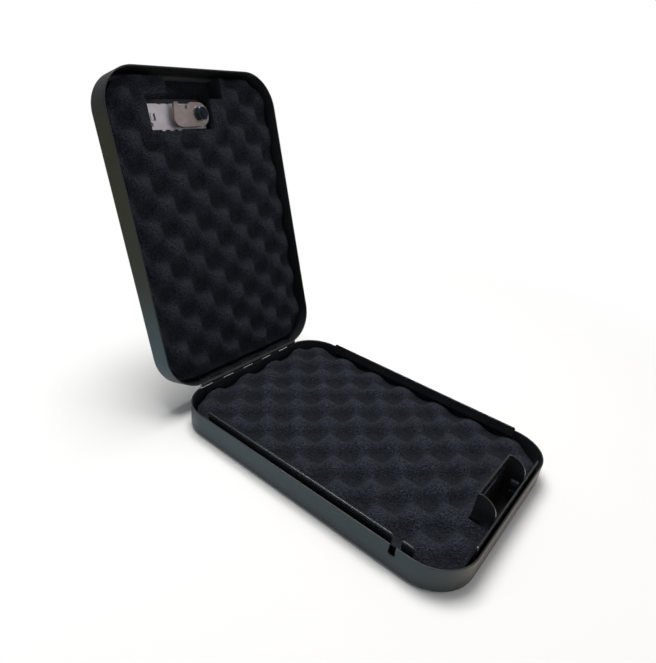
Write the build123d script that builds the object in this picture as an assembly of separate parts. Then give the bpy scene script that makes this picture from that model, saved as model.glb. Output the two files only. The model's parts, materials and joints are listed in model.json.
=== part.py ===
from build123d import *
from math import ceil, cos, hypot, radians, sin, sqrt, tan
import os

# Portable security safe with its lid open. All sizes are in millimetres.
# X runs across the safe, Y towards the hinge, Z up. The origin is the middle of the base's flat underside.
# The lid and its lock are modelled closed, then turned open together about the hinge pin.

os.makedirs("parts", exist_ok=True)

# Case
WIDTH = 178.0
LENGTH = 257.2
PLAN_RADIUS = 31.0
EDGE_RADIUS = 3.8
SHEET = 1.2
RIM_ROUND = 0.35
BASE_HEIGHT = 21.5
LID_HEIGHT = 22.2
RIM_GAP = 0.4
OPEN_ANGLE = 108.6

# Hinge
HINGE_OUTSIDE = 0.5
HINGE_ABOVE_RIM = 0.85
PIN_RADIUS = 1.0
PIN_FIT = 0.05
PIN_PROUD = 0.6
LEAF = 0.9
LEAF_REACH = 12.5
KNUCKLE_PITCH = 12.3
KNUCKLE_OVER = 0.5
KNUCKLE_GAP = 0.3
HINGE_CLEAR = 0.9

# Lip strips of the base
STRIP_RISE = 4.8
SIDE_SET_IN = 4.0
FRONT_SET_IN = 3.0
STRIP_LEG = 9.0
STRIP_JOG = 3.0
STRIP_UPPER = 9.0
STRIP_CORNER = 1.5
SIDE_STRIP_REAR = 36.6
SIDE_STRIP_FRONT = 31.6
FRONT_STRIP_WIDTH = 114.0

# Cable notch in the left wall
NOTCH_FROM_FRONT = 43.8
NOTCH_WIDTH = 4.6
NOTCH_HOLE_RADIUS = 2.7
NOTCH_DEPTH = 5.9
NOTCH_STRIP_GAP = 0.4

# Foam pads
FOAM_GAP = 0.3
BASE_FOAM_BELOW_RIM = 1.8
LID_FOAM_BELOW_RIM = 2.5
FOAM_CREST = 6.5
FOAM_FLANK = 45.0
FOAM_PITCH_X = 37.0
FOAM_PITCH_Y = 34.4
FOAM_PHASE_X = 3.6
FOAM_PHASE_Y = 5.3
BUMP_SINK = 0.3

# Lock, placed in the lid
LOCK_FROM_FRONT = 34.1
PIVOT_X = 3.0
CHASSIS_PLATE = 1.5
CHASSIS_DEPTH = 3.2
CHASSIS_WIDTH = 20.2
CHASSIS_WALL = 1.4
CHASSIS_LOBE = 2.0
CHASSIS_NICK = 3.4
CHASSIS_NICK_DEPTH = 0.9
CHASSIS_LEFT = 49.0
CHASSIS_RIGHT = 15.5
BEZEL_HEIGHT = 7.4
BEZEL_TOP = 1.3
BEZEL_WALL = 1.2
BEZEL_OVERHANG = 4.9
BEZEL_CORNER = 5.0
BEZEL_ROUND = 1.5
BODY_FIT = 0.3
CUTOUT_FIT = 0.2

# Number wheels
DIAL_COUNT = 3
DIAL_PITCH = 8.2
DIAL_FROM_PIVOT = 17.1
DIAL_RADIUS = 6.5
DIAL_WIDTH = 5.2
DIAL_CLEAR = 0.3
DIAL_GROOVES = 10
DIAL_GROOVE_RADIUS = 0.6
DIAL_ROUND = 0.4
HUB_RADIUS = 2.5
HUB_LEAD = 1.1
GATE_RADIUS = 3.5
GATE_DISC = 1.2
GATE_DEPTH = 0.9
GATE_WIDTH = 1.8
AXLE_RADIUS = 1.2
ROUND_FIT = 0.05
RIB = 1.4
RIB_CLEAR = 0.6
WINDOW_CLEAR = 0.3

# Fence and springs
FENCE_PLATE = 1.3
FENCE_BAR = 1.4
FENCE_STROKE = 0.8
FENCE_TAB = 0.8
FENCE_TAB_HEIGHT = 1.4
FENCE_CLEAR = 0.15
SPRING_STRIP = 0.3

# Code change tab
TAB_HOLE = 5.0
TAB_HOLE_WIDTH = 5.4
TAB_FINGER = 2.4
TAB_FROM_PIVOT = 44.2
TAB_STROKE = 2.2
TAB_PLATE = 1.0
TAB_PROUD = 0.9
TAB_FIT = 0.2

# Spindle, cam and knob
SPINDLE_RADIUS = 4.0
SPINDLE_WAIST = 2.6
SPINDLE_FIT = 0.1
SHOULDER_RADIUS = 5.2
CAM_DROP = 8.4
CAM_THICK = 2.5
CAM_ROUND = 9.7
CAM_REACH = 26.8
CAM_SQUARE = 6.6
CAM_HOOK = 2.4
STUD_RADIUS = 2.5
WASHER_RADIUS = 7.0
WASHER = 1.0
NUT_FLATS = 10.0
NUT_HEIGHT = 4.0
STUD_PROUD = 0.6
KNOB_RADIUS = 9.5
KNOB_FLANGE = 3.0
KNOB_GRIP = 6.5
KNOB_HEIGHT = 11.0
KNOB_LIFT = 0.3
KNOB_BORE = 3.0
SCREW_RADIUS = 1.1
SCREW_HEAD = 1.9
SCREW_HEAD_HEIGHT = 1.0
SCREW_LENGTH = 7.0
SCREW_BOSS = 2.6

# Catch bracket
CATCH_REACH = 14.7
BRACKET_WIDTH = 56.0
BRACKET_BAND = 7.9
BRACKET_ROUND = 12.5
BRACKET_FOOT = 9.0
BRACKET_FIT = 0.2
SLOT_CLEAR = 0.5
SLOT_SIDE_CLEAR = 0.5
EAR_WINDOW_WIDTH = 5.8
EAR_WINDOW_HEIGHT = 10.5
EAR_WINDOW_BELOW_SLOT = 7.3
EAR_WINDOW_FROM_PLATE = 7.2

# Cut-outs of the lid's foam
POCKET_CLEAR = 1.0
WINDOW_LEFT = 53.0
WINDOW_RIGHT = 11.0
WINDOW_REAR = 13.0
RECESS_CLEAR = 1.0

# Places that follow from the sizes
FRONT_Y = -LENGTH / 2
REAR_Y = LENGTH / 2
SIDE_X = WIDTH / 2
HINGE_Y = REAR_Y + HINGE_OUTSIDE
HINGE_Z = BASE_HEIGHT + HINGE_ABOVE_RIM
BARREL_RADIUS = PIN_RADIUS + PIN_FIT + LEAF
# The barrel is a whole number of knuckles, as long as the straight wall and up to a knuckle longer.
KNUCKLE_COUNT = round((WIDTH - 2 * PLAN_RADIUS) / KNUCKLE_PITCH + KNUCKLE_OVER)
HINGE_LENGTH = KNUCKLE_COUNT * KNUCKLE_PITCH
LID_RIM = BASE_HEIGHT + RIM_GAP
LID_TOP = LID_RIM + LID_HEIGHT
LID_INSIDE = LID_TOP - SHEET
STRIP_TOP = BASE_HEIGHT + STRIP_RISE
NOTCH_Y = FRONT_Y + NOTCH_FROM_FRONT
FOAM_INSET = SIDE_SET_IN + SHEET + FOAM_GAP
BASE_FOAM_THICK = BASE_HEIGHT - SHEET - BASE_FOAM_BELOW_RIM
LID_FOAM_THICK = LID_HEIGHT - SHEET - LID_FOAM_BELOW_RIM
BUMP_RADIUS = 0.495 * hypot(FOAM_PITCH_X / 2, FOAM_PITCH_Y / 2)
LOCK_Y = FRONT_Y + LOCK_FROM_FRONT
CHASSIS_TOP = LID_INSIDE - CHASSIS_DEPTH
CHASSIS_UNDER = CHASSIS_TOP - CHASSIS_PLATE
BODY_HALF = CHASSIS_WIDTH / 2 - CHASSIS_WALL - BODY_FIT
CAVITY_HALF = BODY_HALF - BEZEL_WALL
CHASSIS_X0 = PIVOT_X - CHASSIS_LEFT
CHASSIS_X1 = PIVOT_X + CHASSIS_RIGHT
BODY_X0 = CHASSIS_X0 + CHASSIS_WALL + BODY_FIT
BODY_X1 = CHASSIS_X1 - CHASSIS_WALL - BODY_FIT
BEZEL_FACE = LID_TOP + BEZEL_HEIGHT
DIAL_Z = CHASSIS_TOP + DIAL_CLEAR + DIAL_RADIUS
DIAL_X = [PIVOT_X - DIAL_FROM_PIVOT - DIAL_PITCH * (DIAL_COUNT - 1 - k) for k in range(DIAL_COUNT)]
HUB_LEFT = DIAL_WIDTH / 2 + HUB_LEAD
HUB_RIGHT = DIAL_WIDTH / 2 + FENCE_CLEAR + GATE_DISC
CAM_TOP = CHASSIS_UNDER - CAM_DROP + CAM_THICK
CAM_UNDER = CAM_TOP - CAM_THICK
BRACKET_Y = LOCK_Y - CATCH_REACH
SLOT_LOW = CAM_UNDER - SLOT_CLEAR
SLOT_HIGH = CAM_TOP + SLOT_CLEAR
BRACKET_TOP = SLOT_HIGH + BRACKET_BAND


def block(x0, x1, y0, y1, z0, z1):
    """A box between two corners."""
    return Pos((x0 + x1) / 2, (y0 + y1) / 2, (z0 + z1) / 2) * Box(x1 - x0, y1 - y0, z1 - z0)


def rod(x, y, z0, z1, radius):
    """A round bar along Z."""
    return Pos(x, y, (z0 + z1) / 2) * Cylinder(radius, z1 - z0)


def rod_x(y, z, x0, x1, radius):
    """A round bar along X."""
    return Pos((x0 + x1) / 2, y, z) * Rot(0, 90, 0) * Cylinder(radius, x1 - x0)


def slab_x(points, x0, x1):
    """An outline of (y, z) points carried along X."""
    outline = Plane.YZ.offset(x0) * Polyline(*points, close=True)
    return extrude(make_face(outline), x1 - x0, dir=(1, 0, 0))


def slab_y(points, y0, y1):
    """An outline of (x, z) points carried along Y."""
    outline = Plane.XZ.offset(-y0) * Polyline(*points, close=True)
    return extrude(make_face(outline), y1 - y0, dir=(0, 1, 0))


def plan(inset, height):
    """The case's rounded outline, drawn in by inset and carried up from z = 0."""
    face = RectangleRounded(WIDTH - 2 * inset, LENGTH - 2 * inset, PLAN_RADIUS - inset)
    return extrude(face, height)


def opened(shape):
    """Turns a piece of the closed lid open about the hinge pin."""
    return shape.rotate(Axis((0, HINGE_Y, HINGE_Z), (1, 0, 0)), -OPEN_ANGLE)


def tray(height):
    """A pressed tray with its floor at z = 0, rounded edges and an eased rim."""
    outer = plan(0, height)
    outer = fillet(outer.faces().sort_by(Axis.Z)[0].edges(), EDGE_RADIUS)
    inner = plan(SHEET, height)
    inner = fillet(inner.faces().sort_by(Axis.Z)[0].edges(), EDGE_RADIUS - SHEET)
    shell = outer - Pos(0, 0, SHEET) * inner
    return fillet(shell.faces().sort_by(Axis.Z)[-1].edges(), RIM_ROUND)


def hinge_gap():
    """The stretch of rear wall that both halves leave out for the barrel."""
    half = HINGE_LENGTH / 2 + PIN_PROUD + HINGE_CLEAR
    reach = BARREL_RADIUS + HINGE_CLEAR
    return block(-half, half, REAR_Y - 2 * SHEET, REAR_Y + SHEET, HINGE_Z - reach, HINGE_Z + reach)


def base_shell():
    """Base tray with the keyhole notch and the gap for the hinge."""
    x0, x1 = -SIDE_X - SHEET, -SIDE_X + 2 * SHEET
    hole_z = BASE_HEIGHT - NOTCH_DEPTH
    slot = block(x0, x1, NOTCH_Y - NOTCH_WIDTH / 2, NOTCH_Y + NOTCH_WIDTH / 2, hole_z, BASE_HEIGHT + SHEET)
    return tray(BASE_HEIGHT) - hinge_gap() - slot - rod_x(NOTCH_Y, hole_z, x0, x1, NOTCH_HOLE_RADIUS)


def lid_shell():
    """Lid tray, upside down over the base, with the gap for the hinge and the lock's cut-out."""
    shell = Pos(0, 0, LID_TOP) * Rot(180, 0, 0) * tray(LID_HEIGHT)
    half = BODY_HALF + CUTOUT_FIT
    cutout = block(BODY_X0 - CUTOUT_FIT, BODY_X1 + CUTOUT_FIT, LOCK_Y - half, LOCK_Y + half,
                   LID_INSIDE - SHEET, LID_TOP + SHEET)
    return shell - hinge_gap() - cutout


def strip_profile(wall, set_in):
    """Joggled strip section: a leg on the wall's inner face, a slant, and a blade above the rim."""
    jog_high = STRIP_TOP - STRIP_UPPER
    jog_low = jog_high - STRIP_JOG
    low = jog_low - STRIP_LEG
    leg, blade = wall - SHEET, wall - set_in
    return [(leg, low), (leg, jog_low), (blade, jog_high), (blade, STRIP_TOP), (blade - SHEET, STRIP_TOP),
            (blade - SHEET, jog_high), (leg - SHEET, jog_low), (leg - SHEET, low)]


def round_ends(strip, axis):
    """Rounds the two top corners of a strip, seen from its broad side."""
    flat = strip.edges().filter_by(axis).group_by(Axis.Z)[-1]
    return fillet(flat, STRIP_CORNER)


def side_strip(side, y0, y1):
    """One side strip between y0 and y1; side is -1 on the left and 1 on the right."""
    points = [(side * x, z) for x, z in strip_profile(SIDE_X, SIDE_SET_IN)]
    return round_ends(slab_y(points, y0, y1), Axis.X)


def front_strip():
    """The strip along the front wall."""
    points = [(-y, z) for y, z in strip_profile(REAR_Y, FRONT_SET_IN)]
    return round_ends(slab_x(points, -FRONT_STRIP_WIDTH / 2, FRONT_STRIP_WIDTH / 2), Axis.Y)


def leaf(side):
    """Half of the piano hinge, closed: side is -1 for the base's leaf and 1 for the lid's."""
    half = HINGE_LENGTH / 2
    inner = REAR_Y - SHEET
    near = HINGE_Y - BARREL_RADIUS
    cut = BARREL_RADIUS + HINGE_CLEAR
    jog = BARREL_RADIUS / 2
    far = cut + LEAF_REACH

    def at(y, rise):
        return (y, HINGE_Z + side * rise)

    plate = [at(inner, cut), at(inner, far), at(inner - LEAF, far), at(inner - LEAF, cut)]
    straight = min(half, SIDE_X - PLAN_RADIUS)
    body = slab_x(plate, -straight, straight)
    neck = [at(near, 0), at(near, jog), at(inner - LEAF, cut), at(inner, cut), at(near + LEAF, jog),
            at(near + LEAF, 0)]
    first = 0 if side > 0 else 1
    for k in range(first, KNUCKLE_COUNT, 2):
        x0 = -half + k * KNUCKLE_PITCH + KNUCKLE_GAP / 2
        x1 = x0 + KNUCKLE_PITCH - KNUCKLE_GAP
        curl = rod_x(HINGE_Y, HINGE_Z, x0, x1, BARREL_RADIUS)
        body = body + slab_x(neck, x0, x1) + curl
    return body - rod_x(HINGE_Y, HINGE_Z, -half - 1, half + 1, PIN_RADIUS + PIN_FIT)


def hinge_pin():
    """The hinge's pin, a little proud of the barrel at both ends."""
    half = HINGE_LENGTH / 2 + PIN_PROUD
    return rod_x(HINGE_Y, HINGE_Z, -half, half, PIN_RADIUS)


def foam_bump(thick):
    """One crest of a pad of that thickness: round top, straight flank and hollow foot, turned about Z."""
    foot = thick - FOAM_CREST - BUMP_SINK
    slope = radians(FOAM_FLANK)
    radius = (BUMP_RADIUS - (thick - foot) / tan(slope)) / (2 * tan(slope / 2))

    def on_arc(angle):
        return radius * sin(angle), radius * (1 - cos(angle))

    (half_run, half_drop), (run, drop) = on_arc(slope / 2), on_arc(slope)
    top, end = (0, thick), (BUMP_RADIUS, foot)
    upper, lower = (run, thick - drop), (BUMP_RADIUS - run, foot + drop)
    curve = ThreePointArc(top, (half_run, thick - half_drop), upper)
    curve += Line(upper, lower)
    curve += ThreePointArc(lower, (BUMP_RADIUS - half_run, foot + half_drop), end)
    curve += Polyline(end, (BUMP_RADIUS, foot - 1), (0, foot - 1), top)
    return revolve(Plane.XZ * make_face(curve), Axis.Z)


def foam_pad(thick):
    """Egg-crate pad: crests on a diamond lattice, cut off at the pad's own rounded outline."""
    outline = plan(FOAM_INSET, thick)
    pad = plan(FOAM_INSET, thick - FOAM_CREST)
    half_x, half_y = SIDE_X - FOAM_INSET, REAR_Y - FOAM_INSET
    bump = foam_bump(thick)
    crests = []
    columns = ceil(half_x / FOAM_PITCH_X * 2) + 2
    rows = ceil(half_y / FOAM_PITCH_Y) + 1
    for i in range(-columns, columns + 1):
        for j in range(-rows, rows + 1):
            x = FOAM_PHASE_X + i * FOAM_PITCH_X / 2
            y = FOAM_PHASE_Y + (j + i % 2 / 2) * FOAM_PITCH_Y
            if abs(x) > half_x + BUMP_RADIUS or abs(y) > half_y + BUMP_RADIUS:
                continue
            crest = Pos(x, y, 0) * bump
            if abs(x) > half_x - BUMP_RADIUS or abs(y) > half_y - BUMP_RADIUS or (
                    abs(x) > half_x - PLAN_RADIUS and abs(y) > half_y - PLAN_RADIUS):
                crest = crest & outline
            crests += [solid for solid in crest.solids() if solid.volume > 1]
    return pad.fuse(*crests)


def base_foam():
    """The base's pad, cut clear of the catch bracket."""
    pad = Pos(0, 0, SHEET) * foam_pad(BASE_FOAM_THICK)
    half = BRACKET_WIDTH / 2 + RECESS_CLEAR
    return pad - block(-half, half, FRONT_Y, BRACKET_Y + RECESS_CLEAR, 0, LID_TOP)


def lid_foam():
    """The lid's pad, with one opening for the lock and the bracket and a pocket over the lock's back plate."""
    pad = Pos(0, 0, LID_INSIDE) * Rot(180, 0, 0) * foam_pad(LID_FOAM_THICK)
    window = block(PIVOT_X - WINDOW_LEFT, PIVOT_X + WINDOW_RIGHT, BRACKET_Y, LOCK_Y + WINDOW_REAR, LID_RIM, LID_TOP)
    half = BRACKET_WIDTH / 2 + RECESS_CLEAR
    recess = block(-half, half, FRONT_Y, BRACKET_Y + 3 * RECESS_CLEAR, LID_RIM, LID_TOP)
    reach = CHASSIS_WIDTH / 2 + POCKET_CLEAR
    pocket = block(CHASSIS_X0 - POCKET_CLEAR, CHASSIS_X1 + POCKET_CLEAR, LOCK_Y - reach,
                   LOCK_Y + reach + CHASSIS_LOBE, CHASSIS_UNDER - SCREW_HEAD_HEIGHT - POCKET_CLEAR / 2, LID_TOP)
    return pad - window - recess - pocket


def catch_bracket():
    """Folded bracket: slotted back plate, two ears with windows and a foot on the floor."""
    half = BRACKET_WIDTH / 2
    front = FRONT_Y + FRONT_SET_IN + SHEET + BRACKET_FIT
    plate = block(-half, half, BRACKET_Y - SHEET, BRACKET_Y, SHEET, BRACKET_TOP)
    reach_in = sqrt(CAM_REACH ** 2 - CATCH_REACH ** 2)
    slot = block(PIVOT_X - reach_in - SLOT_SIDE_CLEAR, PIVOT_X + CAM_ROUND - CAM_HOOK + SLOT_SIDE_CLEAR,
                 BRACKET_Y - 2 * SHEET, BRACKET_Y + SHEET, SLOT_LOW, SLOT_HIGH)
    foot = block(-half, half, BRACKET_Y - BRACKET_FOOT, BRACKET_Y, SHEET, 2 * SHEET)
    ear = block(0, SHEET, front, BRACKET_Y, SHEET, BRACKET_TOP)
    corner = ear.edges().filter_by(Axis.X).group_by(Axis.Z)[-1].sort_by(Axis.Y)[0]
    ear = fillet(corner, min(BRACKET_ROUND, (BRACKET_Y - front) * 0.85))
    window_y = BRACKET_Y - EAR_WINDOW_FROM_PLATE
    window_z = SLOT_LOW - EAR_WINDOW_BELOW_SLOT
    ear = ear - block(-SHEET, 2 * SHEET, window_y - EAR_WINDOW_WIDTH, window_y, window_z - EAR_WINDOW_HEIGHT, window_z)
    return plate - slot + foot + Pos(-half, 0, 0) * ear + Pos(half - SHEET, 0, 0) * ear


def lock_chassis():
    """Back plate of the lock: a shallow tray against the lid, with axle posts, lobes and holes."""
    half = CHASSIS_WIDTH / 2
    tray_out = block(CHASSIS_X0, CHASSIS_X1, LOCK_Y - half, LOCK_Y + half, CHASSIS_UNDER, LID_INSIDE)
    tray_in = block(CHASSIS_X0 + CHASSIS_WALL, CHASSIS_X1 - CHASSIS_WALL, LOCK_Y - half + CHASSIS_WALL,
                    LOCK_Y + half - CHASSIS_WALL, CHASSIS_TOP, LID_INSIDE)
    body = tray_out - tray_in
    for x in DIAL_X:
        body = body + rod(x, LOCK_Y + half, CHASSIS_UNDER, CHASSIS_TOP, CHASSIS_LOBE)
        body = body - block(x - CHASSIS_NICK / 2, x + CHASSIS_NICK / 2, LOCK_Y - half - 1,
                            LOCK_Y - half + CHASSIS_NICK_DEPTH, CHASSIS_UNDER - 1, CHASSIS_TOP)
    for x in rib_places():
        body = body + block(x, x + RIB, LOCK_Y - AXLE_RADIUS + ROUND_FIT, LOCK_Y + AXLE_RADIUS - ROUND_FIT,
                            CHASSIS_TOP, DIAL_Z - AXLE_RADIUS)
    body = body - rod(PIVOT_X, LOCK_Y, CHASSIS_UNDER - 1, CHASSIS_TOP + 1, SPINDLE_RADIUS + SPINDLE_FIT)
    tab_x = PIVOT_X - TAB_FROM_PIVOT
    body = body - block(tab_x, tab_x + TAB_HOLE, LOCK_Y - TAB_HOLE_WIDTH / 2, LOCK_Y + TAB_HOLE_WIDTH / 2,
                        CHASSIS_UNDER - 1, CHASSIS_TOP + 1)
    for x, y in screw_places():
        body = body - rod(x, y, CHASSIS_UNDER - 1, CHASSIS_TOP + 1, SCREW_RADIUS + TAB_FIT)
    return body


def rib_places():
    """Where the two ribs that carry the axle begin along X."""
    return [DIAL_X[0] - HUB_LEFT - RIB_CLEAR - RIB, DIAL_X[-1] + HUB_RIGHT + RIB_CLEAR]


def screw_places():
    """Middle of each chassis screw: opposite corners of the lock's body."""
    inset = BEZEL_WALL + SCREW_BOSS / 2
    return [(BODY_X0 + inset, LOCK_Y + BODY_HALF - inset), (BODY_X1 - inset, LOCK_Y - BODY_HALF + inset)]


def lock_bezel():
    """Outer cover of the lock: a rounded bezel on the lid and a hollow body down through the cut-out."""
    x0, x1 = BODY_X0 - BEZEL_OVERHANG + BEZEL_WALL, BODY_X1 + BEZEL_OVERHANG
    half = BODY_HALF + BEZEL_OVERHANG
    face = Pos((x0 + x1) / 2, LOCK_Y, LID_TOP) * RectangleRounded(x1 - x0, 2 * half, BEZEL_CORNER)
    cover = extrude(face, BEZEL_HEIGHT)
    cover = fillet(cover.faces().sort_by(Axis.Z)[-1].edges(), BEZEL_ROUND)
    body = cover + block(BODY_X0, BODY_X1, LOCK_Y - BODY_HALF, LOCK_Y + BODY_HALF, CHASSIS_TOP, LID_TOP)
    roof = BEZEL_FACE - BEZEL_TOP
    body = body - block(BODY_X0 + BEZEL_WALL, BODY_X1 - BEZEL_WALL, LOCK_Y - CAVITY_HALF, LOCK_Y + CAVITY_HALF,
                        CHASSIS_TOP, roof)
    slot = AXLE_RADIUS + ROUND_FIT
    for x in rib_places():
        rib = block(x, x + RIB, LOCK_Y - GATE_RADIUS, LOCK_Y + GATE_RADIUS, CHASSIS_TOP + 1.2 * TAB_PLATE, roof)
        rib = rib - rod_x(LOCK_Y, DIAL_Z, x, x + RIB, slot)
        body = body + (rib - block(x, x + RIB, LOCK_Y - slot, LOCK_Y + slot, CHASSIS_TOP, DIAL_Z))
    opening = sqrt(DIAL_RADIUS ** 2 - (roof - DIAL_Z) ** 2) + WINDOW_CLEAR
    for x in DIAL_X:
        reach = DIAL_WIDTH / 2 + WINDOW_CLEAR
        body = body - block(x - reach, x + reach, LOCK_Y - opening, LOCK_Y + opening, roof, BEZEL_FACE)
    for x, y in screw_places():
        body = body + rod(x, y, CHASSIS_TOP, roof, SCREW_BOSS)
        body = body - rod(x, y, CHASSIS_TOP, CHASSIS_TOP + SCREW_LENGTH, SCREW_RADIUS + ROUND_FIT)
    return body - rod(PIVOT_X, LOCK_Y, roof, BEZEL_FACE, SPINDLE_RADIUS + SPINDLE_FIT)


def dial(x):
    """One number wheel with ten finger grooves."""
    half = DIAL_WIDTH / 2
    wheel = rod_x(LOCK_Y, DIAL_Z, x - half, x + half, DIAL_RADIUS)
    wheel = fillet(wheel.edges().filter_by(GeomType.CIRCLE), DIAL_ROUND)
    for k in range(DIAL_GROOVES):
        angle = radians(360 / DIAL_GROOVES * (k + 0.5))
        y, z = LOCK_Y + DIAL_RADIUS * sin(angle), DIAL_Z + DIAL_RADIUS * cos(angle)
        wheel = wheel - rod_x(y, z, x - half, x + half, DIAL_GROOVE_RADIUS)
    return wheel - rod_x(LOCK_Y, DIAL_Z, x - half, x + half, HUB_RADIUS + ROUND_FIT)


def dial_hub(x):
    """Sleeve under one wheel, with a disc that has the gate for the fence."""
    disc_x = x + HUB_RIGHT - GATE_DISC
    hub = rod_x(LOCK_Y, DIAL_Z, x - HUB_LEFT, x + HUB_RIGHT, HUB_RADIUS)
    hub = hub + rod_x(LOCK_Y, DIAL_Z, disc_x, x + HUB_RIGHT, GATE_RADIUS)
    hub = hub - block(disc_x, x + HUB_RIGHT, LOCK_Y + GATE_RADIUS - GATE_DEPTH, LOCK_Y + GATE_RADIUS + 1,
                      DIAL_Z - GATE_WIDTH / 2, DIAL_Z + GATE_WIDTH / 2)
    return hub - rod_x(LOCK_Y, DIAL_Z, x - HUB_LEFT, x + HUB_RIGHT, AXLE_RADIUS + ROUND_FIT)


def dial_axle():
    """Plain axle through the three hubs, seated in the ribs."""
    left, right = rib_places()
    return rod_x(LOCK_Y, DIAL_Z, left, right + RIB, AXLE_RADIUS)


def lock_fence():
    """Stamped fence: a bar along the wheels, a tab up to each gate, and a yoke round the spindle's waist."""
    low = CHASSIS_TOP + FENCE_CLEAR
    high = low + FENCE_PLATE
    outer = LOCK_Y + CAVITY_HALF - FENCE_CLEAR / 2
    bar_in = outer - FENCE_BAR
    arm = SPINDLE_RADIUS + FENCE_BAR
    far = PIVOT_X + arm
    body = block(DIAL_X[0], far, bar_in, outer, low, high)
    tip = LOCK_Y + GATE_RADIUS + FENCE_CLEAR
    for x in DIAL_X:
        middle = x + HUB_RIGHT - GATE_DISC / 2
        x0, x1 = middle - FENCE_TAB / 2, middle + FENCE_TAB / 2
        neck = tip + FENCE_STROKE + FENCE_CLEAR / 2
        top = DIAL_Z + FENCE_TAB_HEIGHT / 2
        body = body + block(x0, x1, neck, outer, low, top)
        body = body + block(x0, x1, tip, outer, top - FENCE_TAB_HEIGHT, top)
    yoke_low = LOCK_Y - SPINDLE_WAIST - FENCE_CLEAR - FENCE_BAR
    body = body + block(far - FENCE_BAR, far, yoke_low, outer, low, high)
    return body + block(PIVOT_X - FENCE_BAR, far, yoke_low, yoke_low + FENCE_BAR, low, high)


def fence_spring():
    """Bowed flat spring between the body's wall and the fence's yoke."""
    wall = LOCK_Y - CAVITY_HALF
    reach = SPINDLE_RADIUS + FENCE_BAR
    low = CHASSIS_TOP + FENCE_CLEAR
    bow = CAVITY_HALF - SPINDLE_WAIST - FENCE_BAR - 2 * FENCE_CLEAR - FENCE_STROKE
    line = ThreePointArc((PIVOT_X - reach, wall), (PIVOT_X, wall + bow - SPRING_STRIP), (PIVOT_X + reach, wall))
    back = ThreePointArc((PIVOT_X + reach, wall + SPRING_STRIP), (PIVOT_X, wall + bow),
                         (PIVOT_X - reach, wall + SPRING_STRIP))
    ends = Line(line @ 1, back @ 0) + Line(back @ 1, line @ 0)
    return extrude(Pos(0, 0, low) * make_face(line + back + ends), FENCE_PLATE)


def detent_spring():
    """Comb of three flat fingers that press on the wheels from the front side."""
    wall = LOCK_Y - CAVITY_HALF
    half = DIAL_WIDTH / 2
    low, high = DIAL_Z - HUB_RADIUS, DIAL_Z + SPRING_STRIP
    body = block(DIAL_X[0] - half, DIAL_X[-1] + half, wall, wall + SPRING_STRIP, low - 2 * SPRING_STRIP, low)
    reach = LOCK_Y - DIAL_RADIUS - FENCE_CLEAR
    for x in DIAL_X:
        x0, x1 = x - DIAL_GROOVE_RADIUS, x + DIAL_GROOVE_RADIUS
        body = body + block(x0, x1, wall, wall + SPRING_STRIP, low, high)
        body = body + block(x0, x1, wall, reach, DIAL_Z - SPRING_STRIP, high)
    return body


def reset_tab():
    """Sliding tab for changing the code: a plate inside the lock and a finger through the back plate."""
    x0 = PIVOT_X - TAB_FROM_PIVOT + TAB_FIT
    half = TAB_HOLE_WIDTH / 2
    finger = block(x0, x0 + TAB_FINGER, LOCK_Y - half + TAB_FIT, LOCK_Y + half - TAB_FIT,
                   CHASSIS_UNDER - TAB_PROUD, CHASSIS_TOP + TAB_FIT)
    low, lap = CHASSIS_TOP + TAB_FIT / 2, 1.5 * TAB_FIT
    return finger + block(x0 - TAB_FIT, x0 + TAB_FINGER, LOCK_Y - half - lap, LOCK_Y + half + lap,
                          low, low + TAB_PLATE)


def lock_spindle():
    """Spindle: knob seat, bearings, waist for the fence, shoulder, square for the cam and a stud for the nut."""
    waist_low = CHASSIS_TOP + FENCE_CLEAR / 2
    waist_high = CHASSIS_TOP + FENCE_PLATE + 2 * FENCE_CLEAR
    shoulder_top = CHASSIS_UNDER - TAB_FIT
    half = CAM_SQUARE / 2 - ROUND_FIT
    parts = [
        rod(PIVOT_X, LOCK_Y, BEZEL_FACE, BEZEL_FACE + KNOB_HEIGHT - KNOB_FLANGE, KNOB_BORE),
        rod(PIVOT_X, LOCK_Y, waist_high, BEZEL_FACE, SPINDLE_RADIUS),
        rod(PIVOT_X, LOCK_Y, waist_low, waist_high, SPINDLE_WAIST),
        rod(PIVOT_X, LOCK_Y, shoulder_top, waist_low, SPINDLE_RADIUS),
        rod(PIVOT_X, LOCK_Y, CAM_TOP, shoulder_top, SHOULDER_RADIUS),
        block(PIVOT_X - half, PIVOT_X + half, LOCK_Y - half, LOCK_Y + half, CAM_UNDER, CAM_TOP),
        rod(PIVOT_X, LOCK_Y, CAM_UNDER - WASHER - NUT_HEIGHT - STUD_PROUD, CAM_UNDER, STUD_RADIUS),
    ]
    return parts[0].fuse(*parts[1:])


def lock_cam():
    """Hook cam, arm to the left: round about the spindle, a hump, a notch and a beak on its front edge."""
    r = CAM_ROUND
    far, beak = -CAM_REACH, CAM_HOOK
    edge = -(r - beak + SLOT_SIDE_CLEAR / 2)
    notch_far, notch_near = -CATCH_REACH, -CATCH_REACH + 2.6 * SHEET
    corner = 0.24 * CAM_REACH
    outline = Polyline((0, r), (far + corner, r))
    outline += ThreePointArc((far + corner, r), (far + 0.25 * corner, r - 0.38 * corner), (far, r - corner))
    outline += Polyline((far, r - corner), (far + beak, edge - beak), (far + 2.6 * beak, edge - beak),
                        (far + 2.8 * beak, edge), (notch_far, edge), (notch_far, edge / 1.65),
                        (notch_near, edge / 1.65), (notch_near, edge), (-0.82 * r, -r))
    outline += Line((-0.82 * r, -r), (0, -r))
    outline += ThreePointArc((0, -r), (r, 0), (0, r))
    plate = extrude(Pos(PIVOT_X, LOCK_Y, CAM_UNDER) * make_face(outline), CAM_THICK)
    half = CAM_SQUARE / 2
    return plate - block(PIVOT_X - half, PIVOT_X + half, LOCK_Y - half, LOCK_Y + half, CAM_UNDER, CAM_TOP)


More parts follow.
